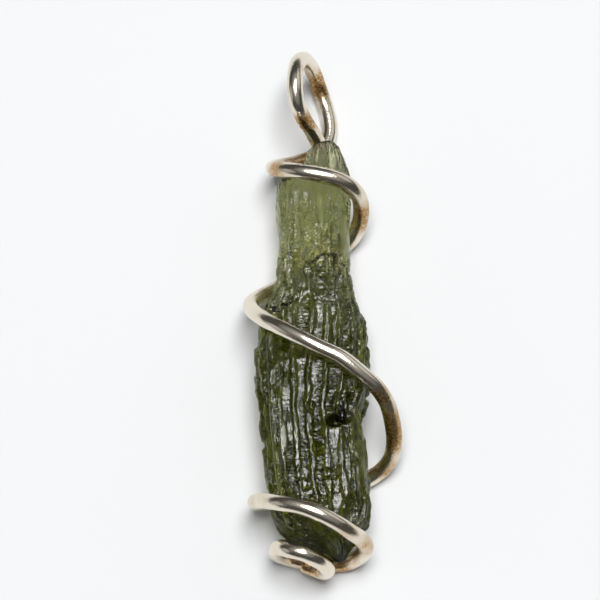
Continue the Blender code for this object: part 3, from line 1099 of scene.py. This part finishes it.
        # the hollows' dark brown is partly clay and partly painted shade
        hollow, scooped, clay_and_shade = self.scooped(points, front)
        depth = depth * (1.0 - self.calm_share * calm) * (1.0 - self.shelf_share * shelf)
        depth = depth * (1.0 - self.scoop_share * scooped) + hollow
        film = self.floor_clay * (cut.floor + cut.brink) * (1.0 - shelf) * (1.0 - calm)

        own = self.own.scatter(np.stack([cut.number, 0.0 * y, 0.0 * y], axis=-1))
        patch = ramp(self.ladder_patches.at(points), *self.ladder_span)
        ladder = cut.floor * patch * (1.0 - calm) * (1.0 - self.shelf_ladder_loss * shelf)
        dots = ramp(self.dot_patches.at(points) + self.shelf_dots * shelf, *self.dot_span)
        dots = dots * (1.0 - calm) * (1.0 - self.body_dot_loss * ramp(-y, *self.body_fade))
        dots = dots * (1.0 - self.ladder_dot_loss * ladder) * ramp(-y, *self.tip_fade)
        pitch = self.ladder_pitch * (self.pitch_least + self.pitch_change * own)
        return {"depth": depth, "ladder": ladder * (1.0 - scooped), "dots": dots, "calm": calm,
                "deep": np.maximum(clay_and_shade, film), "rung": y / pitch + self.rung_shift * own}

    def build(self) -> bpy.types.Object:
        """Move the skin inwards by its etching, close its poles and make the mesh.

        Returns:
            The stone.
        """
        points, fraction, girth, closing, onto_body = self.base_points()
        along = np.gradient(points, axis=0)
        around = np.roll(points, -1, axis=1) - np.roll(points, 1, axis=1)
        normal = np.cross(around, along)
        normal /= np.linalg.norm(normal, axis=-1, keepdims=True)
        measures = self.etching(points, normal, fraction, girth)
        thicker = (1.0 - self.body_thickness) * ramp(-points[..., 1], *self.thicker_to)
        measures["body"] = onto_body * (self.body_thickness + thicker)
        points = points - normal * (measures.pop("depth") * ramp(closing, *self.end_etching))[..., None]
        poles = np.stack([points[0].mean(axis=0), points[-1].mean(axis=0)])
        skin = np.concatenate([points.reshape(-1, 3), poles])
        stone = new_piece("moldavite", skin, closed_tube_faces(self.rings, self.sides))
        for name, values in measures.items():
            values = np.concatenate([values.ravel(), [values[0].mean(), values[-1].mean()]])
            stone.data.attributes.new(name, "FLOAT", "POINT").data.foreach_set("value", values)
        return stone

    def dress(self, stone: bpy.types.Object) -> None:
        """Give the stone its glass, and tie it to the frame.

        Args:
            stone: the stone.
        """
        stone.data.materials.append(NaturalGlass().material())
        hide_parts("moldavite_stone")
        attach(stone, "root")


@dataclass
class WireWrap:
    """The silver wire: a round profile carried along its route, with square-cut ends."""

    # the profile: its size, how far its cut ends are broken, and the waves that drawing left
    radius: float = 0.51
    sides: int = 32
    chamfer: float = 0.06
    unevenness: float = 0.008
    waves: LatticeNoise = LatticeNoise(61, (0.9, 1.0, 1.0))

    # the steps along the route and in each stretch of its curve, and where its frames start
    spacing: float = 0.12
    curve_steps: int = 24
    start_side: Triple = (0.45, 0.77, 0.45)

    # the film inside the bends, and spots of thicker film, as (x, y, z, reach, amount); the spot
    # inside the bail is partly painted reflection
    bend_film: float = 0.45
    bend_gain: float = 2.2
    spot_core: float = 0.3
    film_and_reflection_spots: tuple[tuple[float, float, float, float, float], ...] = (
        (4.40, -7.90, 3.60, 2.6, 0.80), (3.90, -9.60, 1.50, 1.6, 0.55), (3.40, -6.20, 5.40, 1.2, 0.55),
        (2.45, 6.30, 3.00, 1.7, 0.75), (-2.80, 8.60, 4.70, 1.3, 0.55), (-1.10, 12.10, 4.40, 1.2, 0.85),
        (-0.30, 15.90, 1.30, 1.8, 0.85), (2.40, -15.20, 3.80, 1.7, 0.60), (0.30, -15.80, 0.50, 2.2, 0.65),
        (-1.20, -16.10, 1.70, 1.4, 0.60), (-1.00, 11.00, 0.80, 1.5, 0.60),
    )

    def route(self) -> np.ndarray:
        """Read evenly spaced points from a smooth curve through the corners.

        Each stretch takes the straight lines through its two corners and their neighbours, and
        blends them twice over. The knots that time the blends are spaced by the square root of
        the distance between corners.

        Returns:
            The points, one a row.
        """
        corners = np.array(WIRE_ROUTE)
        padded = np.vstack([2 * corners[0] - corners[1], corners, 2 * corners[-1] - corners[-2]])
        gaps = np.linalg.norm(np.diff(padded, axis=0), axis=1) ** 0.5
        knots = np.concatenate([[0.0], np.cumsum(gaps)])
        p0, p1, p2, p3 = (padded[i:len(padded) - 3 + i, None, :] for i in range(4))
        t0, t1, t2, t3 = (knots[i:len(knots) - 3 + i, None, None] for i in range(4))
        share = np.linspace(0.0, 1.0, self.curve_steps, endpoint=False)[None, :, None]
        t = t1 + (t2 - t1) * share
        a1 = ((t1 - t) * p0 + (t - t0) * p1) / (t1 - t0)
        a2 = ((t2 - t) * p1 + (t - t1) * p2) / (t2 - t1)
        a3 = ((t3 - t) * p2 + (t - t2) * p3) / (t3 - t2)
        b1 = ((t2 - t) * a1 + (t - t0) * a2) / (t2 - t0)
        b2 = ((t3 - t) * a2 + (t - t1) * a3) / (t3 - t1)
        fine = (((t2 - t) * b1 + (t - t1) * b2) / (t2 - t1)).reshape(-1, 3)
        fine = np.vstack([fine, corners[-1:]])
        travelled = np.concatenate([[0.0], np.cumsum(np.linalg.norm(np.diff(fine, axis=0), axis=1))])
        stops = np.linspace(0.0, travelled[-1], int(round(travelled[-1] / self.spacing)) + 1)
        return np.stack([np.interp(stops, travelled, fine[:, i]) for i in range(3)], axis=1)

    def frames(self, route: np.ndarray) -> tuple[np.ndarray, np.ndarray]:
        """Give two directions across the route at each point, with no twist along it.

        They start from a fixed direction laid across the route, and the twist that this gives
        from point to point is added up and turned back.

        Args:
            route: the points of the route.

        Returns:
            The two directions, one a row.
        """
        ahead = np.gradient(route, axis=0)
        ahead /= np.linalg.norm(ahead, axis=1, keepdims=True)
        across = np.cross(ahead, np.array(self.start_side))
        across /= np.linalg.norm(across, axis=1, keepdims=True)
        up = np.cross(ahead, across)
        slip = np.arctan2(np.sum(across[:-1] * up[1:], axis=1),
                          np.sum(across[:-1] * across[1:], axis=1))
        twist = np.concatenate([[0.0], np.cumsum(slip)])[:, None]
        cos, sin = np.cos(twist), np.sin(twist)
        return across * cos + up * sin, up * cos - across * sin

    def tarnish_and_reflection(self, route: np.ndarray, points: np.ndarray, outward: np.ndarray) -> np.ndarray:
        """Grow the film inside the bends and in its spots, one of which is partly painted reflection.

        Inside a bend it grows with the route's curvature, taken along the outward direction. A
        spot is thickest in its core, a share of its reach, and fades to nothing at its reach.

        Args:
            route: the points of the route.
            points: the wire's skin, by ring and side.
            outward: the outward directions there.

        Returns:
            How far each point is tarnished, with the painted reflection in the bail, from 0 to 1.
        """
        bend = np.gradient(np.gradient(route, axis=0), axis=0) / self.spacing ** 2
        inside = np.sum(outward * bend[:, None, :], axis=-1) * self.bend_gain
        film = self.bend_film * np.clip(inside, 0.0, 1.0)
        for x, y, z, reach, amount in self.film_and_reflection_spots:
            away = np.linalg.norm(points - np.array([x, y, z]), axis=-1)
            film = np.maximum(film, amount * ramp(-away, -reach, -self.spot_core * reach))
        return film

    def build(self) -> bpy.types.Object:
        """Carry the round profile along the route, close its ends and press it to the floor.

        Each point also keeps its strand: its place on the wire as if that were straight.

        Returns:
            The wire.
        """
        route = self.route()
        first, second = self.frames(route)
        rings, sides, ends = len(route), self.sides, np.array([0, -1])
        travelled = np.arange(rings) * self.spacing
        line = np.stack([travelled, 0.0 * travelled, 0.0 * travelled], axis=-1)
        radius = self.radius - self.unevenness * (1.0 + self.waves.at(line))
        radius[ends] -= self.chamfer
        angle = np.arange(sides) / sides * 2.0 * np.pi
        cos, sin = np.cos(angle), np.sin(angle)
        outward = cos[None, :, None] * first[:, None, :] + sin[None, :, None] * second[:, None, :]
        points = route[:, None, :] + radius[:, None, None] * outward
        points[..., 2] = np.maximum(points[..., 2], 0.0)
        skin = np.concatenate([points.reshape(-1, 3), route[ends]])
        piece = new_piece("silver_wire", skin, closed_tube_faces(rings, sides))

        strand = np.zeros((rings, sides, 3))
        strand[..., 0], strand[..., 1] = self.radius * cos, self.radius * sin
        strand[..., 2] = travelled[:, None]
        pole_strand = [[0.0, 0.0, travelled[0]], [0.0, 0.0, travelled[-1]]]
        strand = np.concatenate([strand.reshape(-1, 3), pole_strand])
        film = self.tarnish_and_reflection(route, points, outward)
        film = np.concatenate([film.ravel(), film[ends].mean(axis=1)])
        attributes = piece.data.attributes
        attributes.new("strand", "FLOAT_VECTOR", "POINT").data.foreach_set("vector", strand.ravel())
        attributes.new("tarnish_and_reflection", "FLOAT", "POINT").data.foreach_set("value", film)
        return piece

    def dress(self, wire: bpy.types.Object) -> None:
        """Give the wire its silver, and tie it to the frame.

        Args:
            wire: the wire.
        """
        wire.data.materials.append(DrawnSilver().material())
        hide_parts("silver_wire_wrap")
        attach(wire, "root")


@dataclass(frozen=True)
class SoftLight:
    """An oval soft light: its place, its width and depth, and its power in watts."""

    name: str
    place: Triple
    size: Pair
    power: float


@dataclass
class Studio:
    """A pale floor, one large soft light overhead, three dim ones, a dim room and the camera."""

    # the camera
    target: Triple = (-1.40, 0.60, 3.00)
    elevation: float = 72.0
    distance: float = 200.0
    view_width: float = 37.5
    sensor: float = 36.0
    near_clip: float = 10.0

    # the floor and the room
    floor_size: float = 1200.0
    paper: str = "#E1E2E3"
    paper_roughness: float = 0.9
    paper_gloss: float = 0.1
    room: str = "#464747"

    # the softbox above, which is the main light, a wide dim sheet above it, and the side lights
    lights: tuple[SoftLight, ...] = (
        SoftLight("softbox", (22.0, 30.0, 600.0), (260.0, 400.0), 4.05),
        SoftLight("diffuser", (40.0, 0.0, 640.0), (1400.0, 1400.0), 0.68),
        SoftLight("fill_left", (-700.0, -150.0, 260.0), (600.0, 500.0), 0.30),
        SoftLight("fill_right", (520.0, 380.0, 400.0), (700.0, 500.0), 0.48),
    )

    def build(self) -> None:
        """Set out the floor, the lights, the room and the camera."""
        self.lay_floor()
        self.hang_lights()
        self.paint_room()
        self.place_camera()
        bpy.context.scene.view_settings.view_transform = "Standard"

    def lay_floor(self) -> None:
        """Lay a sheet of matte white paper under the pendant."""
        corners = np.array([[-1.0, -1.0, 0.0], [1.0, -1.0, 0.0], [1.0, 1.0, 0.0], [-1.0, 1.0, 0.0]])
        floor = new_piece("paper_floor", corners * self.floor_size / 2.0, np.array([[0, 1, 2, 3]]))
        material, tree, output = new_material("white_paper_uncoated")
        shader = add_node(tree, "ShaderNodeBsdfPrincipled", {
            "Base Color": linear(self.paper), "Roughness": self.paper_roughness,
            "Specular IOR Level": self.paper_gloss})
        tree.links.new(shader.outputs["BSDF"], output.inputs["Surface"])
        floor.data.materials.append(material)

    def hang_lights(self) -> None:
        """Hang the lights, facing the pendant and hidden from the camera."""
        for light in self.lights:
            lamp = bpy.data.lights.new(light.name, "AREA")
            lamp.shape = "ELLIPSE"
            lamp.size, lamp.size_y = light.size[0] * MM, light.size[1] * MM
            lamp.energy = light.power
            piece = bpy.data.objects.new(light.name, lamp)
            piece.location = np.array(light.place) * MM
            aim = np.array(light.place) / np.linalg.norm(light.place)
            piece.rotation_euler = (math.acos(aim[2]), 0.0, math.atan2(aim[0], -aim[1]))
            piece.visible_camera = False
            bpy.context.scene.collection.objects.link(piece)

    def paint_room(self) -> None:
        """Make the room round the lights dim."""
        world = bpy.data.worlds.new("dim_room")
        world.use_nodes = True
        back = world.node_tree.nodes["Background"]
        back.inputs["Color"].default_value = linear(self.room)
        bpy.context.scene.world = world

    def place_camera(self) -> None:
        """Put a long lens above the foot end, looking down at the pendant."""
        lens = bpy.data.cameras.new("camera")
        lens.sensor_width = self.sensor
        lens.lens = self.sensor * self.distance / self.view_width
        lens.clip_start = self.near_clip * MM
        camera = bpy.data.objects.new("camera", lens)
        rise = math.radians(self.elevation)
        back = np.array([0.0, -math.cos(rise), math.sin(rise)]) * self.distance
        camera.location = (np.array(self.target) + back) * MM
        camera.rotation_euler = (math.pi / 2.0 - rise, 0.0, 0.0)
        bpy.context.scene.collection.objects.link(camera)
        bpy.context.scene.camera = camera


def main() -> None:
    """Build the stone, the wire and the studio, in that order."""
    logging.basicConfig(level=logging.INFO, format="%(message)s")
    for maker in (EtchedStone(), WireWrap()):
        piece = maker.build()
        maker.dress(piece)
        triangles = sum(len(face.vertices) - 2 for face in piece.data.polygons)
        LOG.info("%s: %d triangles, %s", piece.name, triangles, piece.data.materials[0].name)
    Studio().build()


if __name__ == "__main__":
    main()
